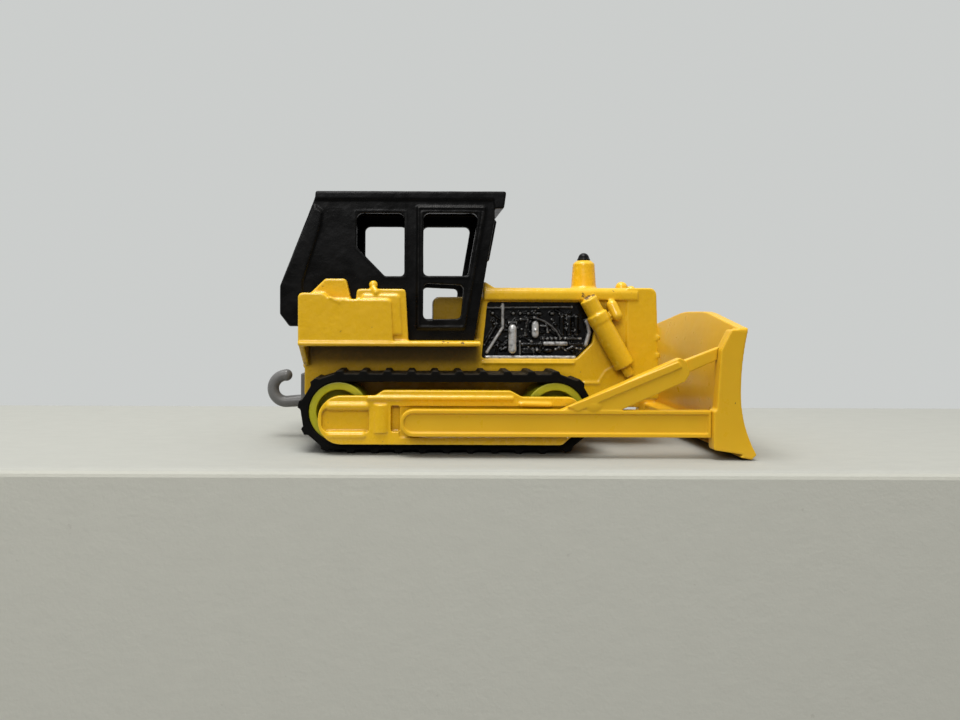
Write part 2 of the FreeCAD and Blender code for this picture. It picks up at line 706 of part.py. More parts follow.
def belt_point(distance, offset):
    """(x, z) at a distance along the belt's middle line from the bottom rear, offset outwards."""
    straight = FRONT_AXLE_X - REAR_AXLE_X
    radius = BELT_INNER_R + BELT_BASE / 2
    bend = math.pi * radius
    out = radius + offset
    if distance < straight:
        return REAR_AXLE_X + distance, AXLE_Z - out
    distance -= straight
    if distance < bend:
        angle = distance / radius - math.pi / 2
        return FRONT_AXLE_X + out * math.cos(angle), AXLE_Z + out * math.sin(angle)
    distance -= bend
    if distance < straight:
        return FRONT_AXLE_X - distance, AXLE_Z + out
    angle = (distance - straight) / radius + math.pi / 2
    return REAR_AXLE_X + out * math.cos(angle), AXLE_Z + out * math.sin(angle)


def track_belt():
    """Right-hand rubber belt: flat links between grouser bars outside, smooth inside."""
    length = 2 * (FRONT_AXLE_X - REAR_AXLE_X) + 2 * math.pi * (BELT_INNER_R + BELT_BASE / 2)
    pitch = length / CLEAT_COUNT
    corners = []
    for i in range(CLEAT_COUNT):
        middle = (i + 0.5) * pitch
        for along, height in (
            (-CLEAT_ROOT / 2, 0),
            (-CLEAT_TIP / 2, CLEAT_HEIGHT),
            (CLEAT_TIP / 2, CLEAT_HEIGHT),
            (CLEAT_ROOT / 2, 0),
        ):
            corners.append(belt_point((middle + along) % length, BELT_BASE / 2 + height))
    outer = side_profile(corners, -BELT_OUT, -BELT_IN)
    rear, front = REAR_AXLE_X - BELT_INNER_R, FRONT_AXLE_X + BELT_INNER_R
    low, high = AXLE_Z - BELT_INNER_R, AXLE_Z + BELT_INNER_R
    bend = BELT_INNER_R - 1e-4
    inner = side_profile(
        [(rear, low, bend), (front, low, bend), (front, high, bend), (rear, high, bend)],
        -BELT_OUT - 1,
        -BELT_IN + 1,
    )
    return outer.cut(inner)


# ---- blade ---------------------------------------------------------------------------------------
BLADE_WAIST_X = 37.8
BLADE_WAIST_Z = 10.5


def blade_face(offset):
    """The moldboard's curve as (low, middle low, waist, middle high, high) points, offset in X."""
    upper_r, lower_r = 45.0, 20.0

    def point(z, radius):
        return Vector(BLADE_WAIST_X + offset + radius - math.sqrt(radius**2 - (z - BLADE_WAIST_Z) ** 2), 0, z)

    return [
        point(1.0, lower_r),
        point(5.8, lower_r),
        point(BLADE_WAIST_Z, upper_r),
        point(16.5, upper_r),
        point(BLADE_CREST_Z, upper_r),
    ]


def blade():
    """Curved moldboard with a raised crest, a cutting edge, a lower beam and an end plate each side."""
    front, back = blade_face(0.0), blade_face(-BLADE_WALL)
    tip = Vector(FRONT_X, 0, 0.8)
    toe = Vector(39.5, 0, 0.1)
    heel = Vector(37.6, 0, 0.5)
    edges = [
        Part.Arc(front[4], front[3], front[2]).toShape(),
        Part.Arc(front[2], front[1], front[0]).toShape(),
        Part.LineSegment(front[0], tip).toShape(),
        Part.LineSegment(tip, toe).toShape(),
        Part.LineSegment(toe, heel).toShape(),
        Part.LineSegment(heel, back[0]).toShape(),
        Part.Arc(back[0], back[1], back[2]).toShape(),
        Part.Arc(back[2], back[3], back[4]).toShape(),
        Part.LineSegment(back[4], front[4]).toShape(),
    ]
    face = Part.Face(Part.Wire(edges))
    face.translate(Vector(0, -BLADE_HALF, 0))
    board = face.extrude(Vector(0, 2 * BLADE_HALF, 0))
    trim = end_profile(
        symmetric(
            [
                (-BLADE_HALF, -1),
                (-BLADE_HALF, BLADE_SIDE_Z, 0.5),
                (-BLADE_CREST_HALF, BLADE_CREST_Z, BLADE_CREST_R),
            ]
        ),
        20,
        60,
    )
    board = board.common(trim)
    end_plate = side_profile(
        [
            (37.4, BLADE_SIDE_Z - 0.2),
            (36.3, BLADE_SIDE_Z - 0.2, 0.4),
            (34.7, 17.2, 0.8),
            (34.1, 8.0, 0.3),
            (ARM_END_X + 0.3, 7.6),
            (ARM_END_X + 0.3, 1.6, 0.3),
            (39.3, 0.75),
            (38.7, 2.6),
            (37.4, 6.0),
            (37.1, 12.0),
        ],
        -BLADE_HALF,
        -END_PLATE_IN,
    )
    beam = side_profile(
        [(37.6, 2.4), (35.0, 2.6, 0.4), (34.9, 4.2, 0.4), (37.2, 4.4)],
        -END_PLATE_IN - 0.1,
        END_PLATE_IN + 0.1,
    )
    return join([board, *both_sides(end_plate), beam])


def push_arm():
    """Right-hand push arm with its pivot boss, slanting brace tube and brace rod."""
    low, high = PIVOT_Z - ARM_HALF_HEIGHT, PIVOT_Z + ARM_HALF_HEIGHT
    round_end = ARM_HALF_HEIGHT - 0.01
    rear = PIVOT_X - ARM_HALF_HEIGHT
    end = ARM_END_X + 0.28
    beam = side_profile(
        [(rear, low, round_end), (end, low), (end, high), (rear, high, round_end)],
        -ARM_OUT,
        -ARM_IN,
    )
    tube = side_profile(
        [
            (9.2, high - 0.4),
            (28.7, 15.9, 0.3),
            (29.6, 15.4, 0.2),
            (30.2, 13.4, 0.2),
            (29.5, 12.2, 0.3),
            (18.4, high - 0.4),
        ],
        -ARM_OUT + 0.1,
        -ARM_IN,
    )
    tail_rod = side_profile(
        [(29.0, 15.3), (35.6, 17.9), (35.3, 15.9), (29.3, 13.2)], -ARM_OUT + 0.4, -ARM_IN - 0.2
    )
    ridge = side_profile(
        [(11.0, 8.2), (28.4, 15.3, 0.2), (28.9, 14.4, 0.2), (12.6, 7.5)], -ARM_OUT - 0.1, -ARM_OUT + 0.5
    )
    collar = rod((15.05, -ARM_OUT + 0.05, 8.2), (15.05, -ARM_IN, 8.2), 1.1)
    boss = rod((PIVOT_X, -ARM_IN - 0.2, PIVOT_Z), (PIVOT_X, -FRAME_IN - 0.1, PIVOT_Z), PIVOT_R)
    web = side_profile(
        [
            (rear + ARM_RIM, low + ARM_RIM, ARM_HALF_HEIGHT - ARM_RIM - 0.01),
            (ARM_END_X - 0.2, low + ARM_RIM, 0.2),
            (ARM_END_X - 0.2, high - ARM_RIM, 0.2),
            (rear + ARM_RIM, high - ARM_RIM, ARM_HALF_HEIGHT - ARM_RIM - 0.01),
        ],
        -ARM_OUT - 1,
        -ARM_OUT + ARM_WEB_DEPTH,
    )
    whole = join([beam.cut(web), tube, tail_rod, ridge, collar, boss])
    behind_blade = side_profile(
        [
            (ARM_END_X + 0.3, 0),
            (ARM_END_X + 0.3, 7.6),
            (34.1, 8.0, 0.3),
            (34.7, 17.2, 0.8),
            (36.3, BLADE_SIDE_Z - 0.2),
            (42.0, BLADE_SIDE_Z - 0.2),
            (42.0, 0),
        ],
        -BLADE_HALF - 1,
        -ARM_IN + 1,
    )
    return whole.cut(behind_blade)


# ---- every node ----------------------------------------------------------------------------------
def nodes():
    pieces = {
        "body_casting": body_casting(),
        "cab_shell": cab_shell(),
        "radiator_grille": radiator_grille(),
        "exhaust_tip": exhaust_tip(),
        "chassis_casting": chassis_casting(),
        "base_plate": base_plate(),
        "base_rivets": rivets(),
        "tow_hook": tow_hook(),
        "axle_front": axle(FRONT_AXLE_X),
        "axle_rear": axle(REAR_AXLE_X),
        "blade": blade(),
    }
    paired = {
        "engine_insert": engine_insert(),
        "track_frame": track_frame(),
        "track_belt": track_belt(),
        "wheel_front": wheel(FRONT_AXLE_X),
        "wheel_rear": wheel(REAR_AXLE_X),
        "push_arm": push_arm(),
    }
    for name, shape in paired.items():
        pieces[name + "_right"] = shape
        pieces[name + "_left"] = mirrored(shape)
    return pieces


def main():
    os.makedirs("parts", exist_ok=True)
    for name, shape in nodes().items():
        volume = sum(solid.Volume for solid in shape.Solids)
        print(f"{name}: {len(shape.Solids)} solid(s), {volume:.1f} mm3, valid {shape.isValid()}")
        shape.exportStep(os.path.join("parts", name + ".step"))


main()
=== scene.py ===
"""Looks of the pocket-size die-cast toy bulldozer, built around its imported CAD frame.

Most pieces start from their CAD solid, get smaller solids added where the moulding has more detail, and
are fused into one soft-edged skin. The engine relief and the tow hook are drawn afresh in their solids'
places. Lengths in the builders are millimetres; objects end up in metres.
"""

import bpy
import bmesh
import math
import random
from mathutils import Matrix, Vector


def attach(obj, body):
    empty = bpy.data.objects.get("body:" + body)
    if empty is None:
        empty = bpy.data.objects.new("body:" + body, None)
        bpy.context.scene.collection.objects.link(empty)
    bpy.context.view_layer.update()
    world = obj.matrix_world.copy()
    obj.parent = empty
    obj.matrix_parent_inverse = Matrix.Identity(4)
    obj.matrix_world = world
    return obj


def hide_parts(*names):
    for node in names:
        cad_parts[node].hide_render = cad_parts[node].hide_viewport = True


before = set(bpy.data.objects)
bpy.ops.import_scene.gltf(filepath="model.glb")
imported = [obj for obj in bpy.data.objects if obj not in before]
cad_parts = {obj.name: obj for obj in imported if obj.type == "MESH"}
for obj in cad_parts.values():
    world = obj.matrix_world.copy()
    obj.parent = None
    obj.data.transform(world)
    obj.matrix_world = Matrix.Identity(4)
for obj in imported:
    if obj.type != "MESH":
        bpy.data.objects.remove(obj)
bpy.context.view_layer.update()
MM = 0.001
TO_MM = Matrix.Scale(1 / MM, 4)
TO_METRES = Matrix.Scale(MM, 4)


# ---- soft-edged mouldings ------------------------------------------------------------------------
class Clay:
    """Overlapping closed solids, in millimetres, that fuse() turns into one soft-edged moulding."""

    def __init__(self, *nodes):
        self.mesh = bmesh.new()
        for node in nodes:
            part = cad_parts[node].data.copy()
            part.transform(TO_MM)
            self.mesh.from_mesh(part)
            bpy.data.meshes.remove(part)
        bmesh.ops.remove_doubles(self.mesh, verts=self.mesh.verts, dist=1e-4)

    def ball(self, centre, size):
        size = size if isinstance(size, tuple) else (size, size, size)
        place = Matrix.Translation(centre) @ Matrix.Diagonal((*size, 1))
        bmesh.ops.create_icosphere(self.mesh, subdivisions=3, radius=1, matrix=place)
        return self

    def rod(self, start, end, radius, end_radius=None):
        start, end = Vector(start), Vector(end)
        turn = (end - start).to_track_quat("Z", "Y").to_matrix().to_4x4()
        bmesh.ops.create_cone(
            self.mesh,
            cap_ends=True,
            segments=32,
            radius1=radius,
            radius2=radius if end_radius is None else end_radius,
            depth=(end - start).length,
            matrix=Matrix.Translation((start + end) / 2) @ turn,
        )
        return self

    def tube(self, points, radius):
        """A round-ended tube through the points."""
        for start, end in zip(points, points[1:]):
            self.rod(start, end, radius)
        for point in points:
            self.ball(point, radius)
        return self

    def bar(self, low, high):
        low, high = Vector(low), Vector(high)
        size = high - low
        place = Matrix.Translation((low + high) / 2) @ Matrix.Diagonal((*size, 1))
        bmesh.ops.create_cube(self.mesh, size=1, matrix=place)
        return self

    def plate(self, corners, y0, y1):
        """The outline through (x, z) corners, filled from y0 to y1."""
        near = [self.mesh.verts.new((x, y0, z)) for x, z in corners]
        face = self.mesh.faces.new(near)
        grown = bmesh.ops.extrude_face_region(self.mesh, geom=[face])["geom"]
        moved = [v for v in grown if isinstance(v, bmesh.types.BMVert)]
        bmesh.ops.translate(self.mesh, verts=moved, vec=(0, y1 - y0, 0))
        return self

    def fuse(self, name, voxel=0.14, soften=5, ripple=0.0, ripple_size=2.5):
        bmesh.ops.recalc_face_normals(self.mesh, faces=self.mesh.faces)
        rough = bpy.data.meshes.new(name + "_rough")
        self.mesh.to_mesh(rough)
        self.mesh.free()
        worker = bpy.data.objects.new(name + "_worker", rough)
        bpy.context.scene.collection.objects.link(worker)
        remesh = worker.modifiers.new("fuse", "REMESH")
        remesh.mode = "VOXEL"
        remesh.voxel_size = voxel
        smooth = worker.modifiers.new("soften", "SMOOTH")
        smooth.factor = 0.5
        smooth.iterations = soften
        if ripple:
            clouds = bpy.data.textures.new(name + "_ripple", "CLOUDS")
            clouds.noise_scale = ripple_size
            waves = worker.modifiers.new("ripple", "DISPLACE")
            waves.texture = clouds
            waves.texture_coords = "LOCAL"
            waves.strength = ripple
            waves.mid_level = 0.5
        depsgraph = bpy.context.evaluated_depsgraph_get()
        mesh = bpy.data.meshes.new_from_object(worker.evaluated_get(depsgraph))
        bpy.data.objects.remove(worker)
        mesh.transform(TO_METRES)
        return add_object(name, mesh)


def add_object(name, mesh):
    mesh.polygons.foreach_set("use_smooth", [True] * len(mesh.polygons))
    mesh.materials.clear()
    piece = bpy.data.objects.new(name, mesh)
    bpy.context.scene.collection.objects.link(piece)
    return piece


def mirrored(piece, name):
    """The same piece on the machine's other side."""
    mesh = piece.data.copy()
    mesh.transform(Matrix.Diagonal((1, -1, 1, 1)))
    mesh.flip_normals()
    return add_object(name, mesh)


def place(piece, body, node, slot):
    piece.data.materials.append(FINISHES[slot])
    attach(piece, body)
    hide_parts(node)


def place_pair(right, body, node, slot, sided_body=False):
    """Places a right-hand piece and its mirror image on the left."""
    name = right.name[: -len("_right")]
    left = mirrored(right, name + "_left")
    for piece, side in ((right, "_right"), (left, "_left")):
        place(piece, body + side if sided_body else body, node + side, slot)


# ---- finishes ------------------------------------------------------------------------------------
RAGGED_SIZE = 0.7
RAGGED_REACH = 1.6


class Finish:
    """A procedural material, with short names for the nodes that it is made of."""

    def __init__(self, slot, **constants):
        self.material = bpy.data.materials.new(slot + "_finish")
        self.material.use_nodes = True
        self.tree = self.material.node_tree
        self.shader = self.tree.nodes["Principled BSDF"]
        for socket, value in constants.items():
            self.shader.inputs[socket.replace("_", " ")].default_value = value
        self.place = self.node("ShaderNodeTexCoord").outputs["Object"]
        self.geometry = self.node("ShaderNodeNewGeometry")

    def node(self, kind, links=(), **settings):
        made = self.tree.nodes.new(kind)
        for key, value in settings.items():
            setattr(made, key, value)
        for socket, value in dict(links).items():
            self.feed(made.inputs[socket], value)
        return made

    def feed(self, socket, value):
        if isinstance(value, bpy.types.NodeSocket):
            self.tree.links.new(value, socket)
        elif isinstance(value, tuple) and len(value) == 3 and socket.type == "RGBA":
            socket.default_value = (*value, 1)
        else:
            socket.default_value = value

    def noise(self, size, detail=3.0, roughness=0.5, stretch=(1, 1, 1)):
        """Noise whose patches are about size millimetres across."""
        spot = self.node("ShaderNodeMapping", {"Vector": self.place, "Scale": stretch}).outputs[0]
        links = {
            "Vector": spot,
            "Scale": 1 / (size * MM),
            "Detail": detail,
            "Roughness": roughness,
        }
        return self.node("ShaderNodeTexNoise", links).outputs["Fac"]

    def fade(self, value, low, high, start=0.0, end=1.0):
        links = {"Value": value, "From Min": low, "From Max": high, "To Min": start, "To Max": end}
        return self.node("ShaderNodeMapRange", links).outputs[0]

    def maths(self, operation, a, b):
        return self.node("ShaderNodeMath", {0: a, 1: b}, operation=operation, use_clamp=True).outputs[0]

    def vector_maths(self, operation, links):
        return self.node("ShaderNodeVectorMath", links, operation=operation)

    def from_middle(self):
        """Distance from the toy's middle plane, in metres."""
        links = {0: self.part(self.place, "Y")}
        return self.node("ShaderNodeMath", links, operation="ABSOLUTE").outputs[0]

    def times(self, a, b):
        return self.maths("MULTIPLY", a, b)

    def either(self, a, b):
        return self.maths("MAXIMUM", a, b)

    def mix(self, amount, a, b):
        links = {"Factor": amount, 6: a, 7: b}
        return self.node("ShaderNodeMix", links, data_type="RGBA").outputs[2]

    def part(self, vector, axis):
        return self.node("ShaderNodeSeparateXYZ", {0: vector}).outputs[axis]

    def hollow(self, reach):
        """1 deep in corners and gaps, 0 in the open."""
        links = {"Distance": reach * MM}
        open_air = self.node("ShaderNodeAmbientOcclusion", links, samples=8).outputs["AO"]
        return self.maths("SUBTRACT", 1.0, open_air)

    def edge(self, low=0.52, high=0.58):
        return self.fade(self.geometry.outputs["Pointiness"], low, high)

    def facing_up(self, low=0.3, high=0.9):
        return self.fade(self.part(self.geometry.outputs["Normal"], "Z"), low, high)

    def spots(self, centres, radius):
        """Ragged patches of about that radius round each (x, y, z, size) in millimetres."""
        links = {"Vector": self.place, "Scale": 1 / (RAGGED_SIZE * MM)}
        swirl = self.node("ShaderNodeTexNoise", links).outputs["Color"]
        push = self.vector_maths("SUBTRACT", {0: swirl, 1: (0.5, 0.5, 0.5)}).outputs[0]
        push = self.vector_maths("SCALE", {0: push, "Scale": RAGGED_REACH * MM}).outputs[0]
        wavy = self.vector_maths("ADD", {0: self.place, 1: push}).outputs[0]
        total = None
        for x, y, z, size in centres:
            links = {0: wavy, 1: (x * MM, y * MM, z * MM)}
            gap = self.vector_maths("DISTANCE", links).outputs["Value"]
            patch = self.fade(gap, size * radius * MM, size * radius * MM * 0.7)
            total = patch if total is None else self.either(total, patch)
        return total

    def bump(self, height, depth, normal=None):
        links = {"Height": height, "Distance": depth * MM, "Strength": 1.0}
        if normal is not None:
            links["Normal"] = normal
        return self.node("ShaderNodeBump", links).outputs[0]

    def done(self, colour, roughness, normal=None, **others):
        self.feed(self.shader.inputs["Base Color"], colour)
        self.feed(self.shader.inputs["Roughness"], roughness)
        if normal is not None:
            self.feed(self.shader.inputs["Normal"], normal)
        for socket, value in others.items():
            self.feed(self.shader.inputs[socket], value)
        return self.material


# Chips that show bare, darkened metal: x, y, z and relative size.
PAINT_CHIPS = [
    (-8.3, -14.4, 18.1, 0.45),
    (-7.5, -14.4, 18.0, 0.5),
    (-5.2, -14.4, 18.1, 0.5),
    (-4.6, -14.4, 17.9, 0.35),
    (15.9, -8.2, 26.0, 0.6),
    (16.7, -8.2, 25.6, 0.9),
    (17.6, -8.2, 25.9, 0.6),
    (21.2, -8.2, 26.6, 0.35),
    (24.4, -8.2, 26.5, 0.35),
]
BLADE_CHIPS = [
    (38.8, -5.0, 23.2, 0.45),
    (36.8, -20.5, 9.0, 0.25),
    (38.9, -20.5, 8.8, 0.25),
    (28.6, -19.6, 13.4, 0.2),
]


# Where shade is painted into the body's colour, because little light reaches there, as (lit, dark)
# limits of a fade.
HULL_FROM_MIDDLE = (9.4, 8.6)
BEHIND_HOOD_X = (-1.5, -2.6)
UNDER_DECK_Z = (13.5, 17.0)
DECK_UNDERSIDE_Z = (17.6, 17.4)
CAB_FLOOR_Z = (18.3, 18.6)


def painted_shade_mask(f):
    """1 where shade is painted into the colour: on the hull under the fender deck and on whatever
    stands inside the cab; 0 in the open.
    """

    def fade(value, limits, start=0.0, end=1.0):
        return f.fade(value, limits[0] * MM, limits[1] * MM, start, end)

    height = f.part(f.place, "Z")
    across = fade(f.from_middle(), HULL_FROM_MIDDLE)
    along = fade(f.part(f.place, "X"), BEHIND_HOOD_X)
    under_deck = f.times(fade(height, UNDER_DECK_Z, 0.25, 0.8), fade(height, DECK_UNDERSIDE_Z))
    in_cab = fade(height, CAB_FLOOR_Z, 0.0, 0.65)
    return f.times(f.times(across, along), f.either(under_deck, in_cab))


def yellow_paint():
    f = Finish("yellow_paint", Coat_Weight=0.22, Coat_Roughness=0.14, Specular_IOR_Level=0.4)
    tint = f.mix(f.noise(9, detail=4), (0.84, 0.50, 0.012), (0.76, 0.435, 0.009))
    # Convex edges lighter: partly thin paint there, partly a painted highlight.
    thin_paint_and_highlight = f.times(f.edge(0.51, 0.56), 0.45)
    tint = f.mix(thin_paint_and_highlight, tint, (0.95, 0.66, 0.07))
    # Darker in hollows and corners: partly grime, partly painted shade.
    grime_and_painted_shade = f.times(f.fade(f.hollow(1.6), 0.22, 0.85), f.fade(f.noise(3.0), 0.25, 0.7, 0.45, 0.9))
    tint = f.mix(grime_and_painted_shade, tint, (0.12, 0.05, 0.002))
    # Painted shade: the hull under the fender deck and the inside of the cab are darkened by position.
    tint = f.mix(painted_shade_mask(f), tint, (0.035, 0.020, 0.001))
    specks = f.fade(f.noise(0.8, detail=1), 0.79, 0.82)
    tint = f.mix(f.times(specks, 0.5), tint, (0.20, 0.11, 0.02))
    worn = f.times(f.edge(0.535, 0.56), f.fade(f.noise(1.6, detail=5, roughness=0.65), 0.69, 0.72))
    chips = f.either(f.spots(PAINT_CHIPS, 0.62), f.times(worn, 0.8))
    tint = f.mix(f.times(chips, 0.85), tint, (0.075, 0.036, 0.008))
    gloss = f.fade(f.noise(1.2, detail=4), 0.3, 0.7, 0.22, 0.34)
    gloss = f.either(gloss, f.times(chips, 0.6))
    peel = f.bump(f.noise(1.1, detail=2), 0.05)
    normal = f.bump(f.maths("SUBTRACT", 1.0, chips), 0.03, peel)
    return f.done(tint, gloss, normal)


def blade_plastic():
    f = Finish(
        "blade_plastic",
        Subsurface_Weight=0.15,
        Subsurface_Radius=(1.0, 0.55, 0.12),
        Subsurface_Scale=0.0012,
        Coat_Weight=0.06,
        Coat_Roughness=0.2,
        Specular_IOR_Level=0.28,
    )
    tint = f.mix(f.noise(7, detail=3), (0.80, 0.47, 0.022), (0.73, 0.42, 0.016))
    # Darker in hollows and corners: partly grime, partly painted shade.
    grime_and_painted_shade = f.times(f.fade(f.hollow(1.2), 0.25, 0.9), f.fade(f.noise(2.5), 0.3, 0.7, 0.4, 0.7))
    tint = f.mix(grime_and_painted_shade, tint, (0.26, 0.12, 0.006))
    scuffs = f.fade(f.noise(0.9, detail=5, roughness=0.7, stretch=(1, 1, 3)), 0.66, 0.74)
    tint = f.mix(f.times(scuffs, f.times(f.edge(0.51, 0.54), 0.5)), tint, (0.45, 0.30, 0.12))
    chips = f.spots(BLADE_CHIPS, 0.5)
    tint = f.mix(chips, tint, (0.10, 0.055, 0.02))
    gloss = f.fade(f.noise(2.0, detail=5), 0.3, 0.7, 0.26, 0.4)
    flow = f.bump(f.noise(2.4, detail=2), 0.03)
    return f.done(tint, gloss, f.bump(f.noise(0.35, detail=2), 0.006, flow))


def black_plastic():
    f = Finish("black_plastic", Specular_IOR_Level=0.16)
    tint = f.mix(f.noise(5, detail=4), (0.0018, 0.0018, 0.0018), (0.0034, 0.0034, 0.0034))
    rubbed = f.times(f.edge(0.51, 0.56), f.fade(f.noise(1.1, detail=5), 0.4, 0.65))
    tint = f.mix(f.times(rubbed, 0.5), tint, (0.035, 0.033, 0.030))
    dust = f.times(f.facing_up(0.2, 0.9), f.fade(f.noise(0.9, detail=6, roughness=0.7), 0.5, 0.8))
    tint = f.mix(f.times(dust, 0.3), tint, (0.09, 0.08, 0.065))
    streaks = f.fade(f.noise(0.5, detail=4, stretch=(0.35, 1, 2.2)), 0.62, 0.72)
    gloss = f.fade(f.noise(3.0, detail=4), 0.3, 0.7, 0.22, 0.36)
    gloss = f.either(gloss, f.times(f.either(dust, streaks), 0.5))
    flow = f.bump(f.noise(1.8, detail=3), 0.05)
    return f.done(tint, gloss, f.bump(f.noise(0.3, detail=3), 0.012, flow))


def engine_black():
    """Black, with silver rubbed over whatever stands out of the hood's side."""
    f = Finish("engine_black", Specular_IOR_Level=0.5)
    depth = f.from_middle()
    proud = f.fade(depth, 6.55 * MM, 6.95 * MM)
    brush = f.fade(f.noise(0.9, detail=3), 0.34, 0.50, 0.25, 1.0)
    ridge = f.either(f.edge(0.52, 0.58), f.times(f.fade(depth, 6.95 * MM, 7.15 * MM), 0.8))
    silver = f.times(f.times(proud, brush), ridge)
    tint = f.mix(silver, (0.002, 0.002, 0.002), (0.80, 0.80, 0.78))
    gloss = f.fade(f.noise(0.8, detail=4), 0.3, 0.7, 0.16, 0.30)
    normal = f.bump(f.noise(0.6, detail=3), 0.08)
    return f.done(tint, gloss, normal, Metallic=f.times(silver, 0.35))


def lime_plastic():
    f = Finish(
        "lime_plastic",
        Subsurface_Weight=0.2,
        Subsurface_Radius=(0.8, 0.8, 0.1),
        Subsurface_Scale=0.001,
    )
    tint = f.mix(f.noise(3, detail=4), (0.44, 0.42, 0.010), (0.34, 0.33, 0.007))
    # Darker in hollows: painted shade, with a little grime.
    grime_and_painted_shade = f.times(f.fade(f.hollow(1.2), 0.15, 0.8), 0.85)
    tint = f.mix(grime_and_painted_shade, tint, (0.045, 0.038, 0.003))
    gloss = f.fade(f.noise(1.0, detail=4), 0.3, 0.7, 0.32, 0.5)
    return f.done(tint, gloss, f.bump(f.noise(0.6, detail=3), 0.015))


def track_rubber():
    f = Finish("track_rubber", Specular_IOR_Level=0.1)
    tint = f.mix(f.noise(2, detail=5), (0.0012, 0.0012, 0.001), (0.003, 0.0028, 0.0022))
    patchy = f.fade(f.noise(1.1, detail=7, roughness=0.7), 0.4, 0.7, 0.1, 1.0)
    dusty = f.times(f.facing_up(0.35, 0.95), patchy)
    tint = f.mix(f.times(dusty, 0.55), tint, (0.070, 0.055, 0.036))
    rubbed = f.times(f.edge(0.52, 0.58), f.fade(f.noise(0.6, detail=4), 0.45, 0.7))
    tint = f.mix(f.times(rubbed, 0.35), tint, (0.04, 0.036, 0.030))
    gloss = f.fade(f.noise(0.8, detail=4), 0.3, 0.7, 0.5, 0.75)
    return f.done(tint, gloss, f.bump(f.noise(0.3, detail=5, roughness=0.65), 0.035))


def grey_plastic():
    f = Finish("grey_plastic", Specular_IOR_Level=0.5)
    tint = f.mix(f.noise(2.5, detail=4), (0.150, 0.150, 0.147), (0.115, 0.115, 0.112))
    # Convex edges painted lighter as a painted highlight, and hollows painted near-black as painted
    # shade.
    tint = f.mix(f.times(f.edge(0.52, 0.58), 0.4), tint, (0.22, 0.22, 0.23))
    tint = f.mix(f.times(f.fade(f.hollow(1.0), 0.3, 1.0), 0.7), tint, (0.02, 0.02, 0.021))
    gloss = f.fade(f.noise(0.9, detail=4), 0.3, 0.7, 0.3, 0.46)
    return f.done(tint, gloss, f.bump(f.noise(0.8, detail=3), 0.02))


def steel():
    f = Finish("steel", Metallic=1.0)
    tint = f.mix(f.noise(1.5, detail=4), (0.50, 0.50, 0.51), (0.36, 0.35, 0.34))
    lathe = f.noise(0.25, detail=2, stretch=(1, 0.08, 1))
    gloss = f.fade(lathe, 0.3, 0.7, 0.25, 0.42)
    return f.done(tint, gloss, f.bump(lathe, 0.006))


def paper():
    """Pale fibrous board that the toy stands on."""
    f = Finish("paper", Specular_IOR_Level=0.2)
    fibres = f.noise(2.0, detail=6, roughness=0.7, stretch=(0.4, 1, 1))
    # Painted light: the board's front and top are lit and shaded copies of one colour, the front
    # painted paler and the top painted darker.
    side = f.mix(fibres, (0.58, 0.58, 0.51), (0.66, 0.66, 0.58))
    top_painted_darker = f.mix(fibres, (0.35, 0.355, 0.325), (0.41, 0.415, 0.38))
    tint = f.mix(f.facing_up(), side, top_painted_darker)
    # Painted contact shadow: the board darkened round where the toy stands.
    painted_contact_shadow = f.fade(f.hollow(7.0), 0.3, 0.9, 0.0, 0.85)
    tint = f.mix(painted_contact_shadow, tint, (0.05, 0.047, 0.038))
    flecks = f.fade(f.noise(1.3, detail=2), 0.76, 0.80)
    tint = f.mix(f.times(flecks, 0.2), tint, (0.35, 0.33, 0.28))
    return f.done(tint, 0.85, f.bump(f.noise(0.9, detail=6, roughness=0.7), 0.05))


FINISHES = {
    made.__name__: made()
    for made in (
        yellow_paint,
        blade_plastic,
        black_plastic,
        engine_black,
        lime_plastic,
        track_rubber,
        grey_plastic,
        steel,
    )
}


# ---- pieces --------------------------------------------------------------------------------------
def body():
    clay = Clay("body_casting")
    for side in (-1, 1):
        clay.tube([(-1.2, side * 7.55, 14.25), (14.4, side * 7.55, 14.25)], 0.3)
        clay.tube([(16.3, side * 7.5, 10.8), (18.9, side * 7.5, 10.8)], 0.3)
        clay.tube([(21.6, side * 7.5, 13.7), (20.0, side * 7.5, 12.8), (19.0, side * 7.5, 11.2)], 0.25)
        clay.tube([(-19.9, side * 12.9, 26.9), (-19.5, side * 13.4, 26.2)], 0.5)
        clay.tube([(-27.0, side * 14.0, 25.3), (-25.4, side * 14.0, 24.5)], 0.3)
        clay.tube([(-26.2, side * 14.0, 25.0), (-24.6, side * 14.0, 24.9)], 0.24)
    shell = clay.fuse("painted_body", voxel=0.16, soften=5, ripple=0.05)
    place(shell, "body", "body_casting", "yellow_paint")


DOOR_BEAD = [(-12.5, 20.4), (-12.5, 40.7), (-1.3, 40.7), (-4.8, 20.4), (-12.5, 20.4)]
DOOR_WINDOW_RIM = [(-11.9, 28.9), (-11.9, 40.0), (-2.1, 40.0), (-3.9, 28.9), (-11.9, 28.9)]
REAR_WINDOW_RIM = [
    (-18.2, 28.8),
    (-14.6, 28.8),
    (-14.6, 40.1),
    (-23.3, 40.1),
    (-23.3, 34.0),
    (-18.2, 28.8),
]


def cab():
    clay = Clay("cab_shell")
    for side in (-1, 1):
        near = side * 10.4
        clay.tube([(x, near, z) for x, z in DOOR_BEAD], 0.22)
        clay.tube([(x, near, z) for x, z in DOOR_WINDOW_RIM], 0.2)
        clay.tube([(x, near - side * 0.3, z) for x, z in REAR_WINDOW_RIM], 0.16)
    shell = clay.fuse("moulded_cab", voxel=0.15, soften=4, ripple=0.05)
    place(shell, "body", "cab_shell", "black_plastic")


ENGINE_PANEL = [(-1.4, 14.8), (15.1, 14.8), (17.8, 17.6), (18.3, 20.9), (16.0, 25.0), (-0.6, 25.0)]
ENGINE_Y = -6.2


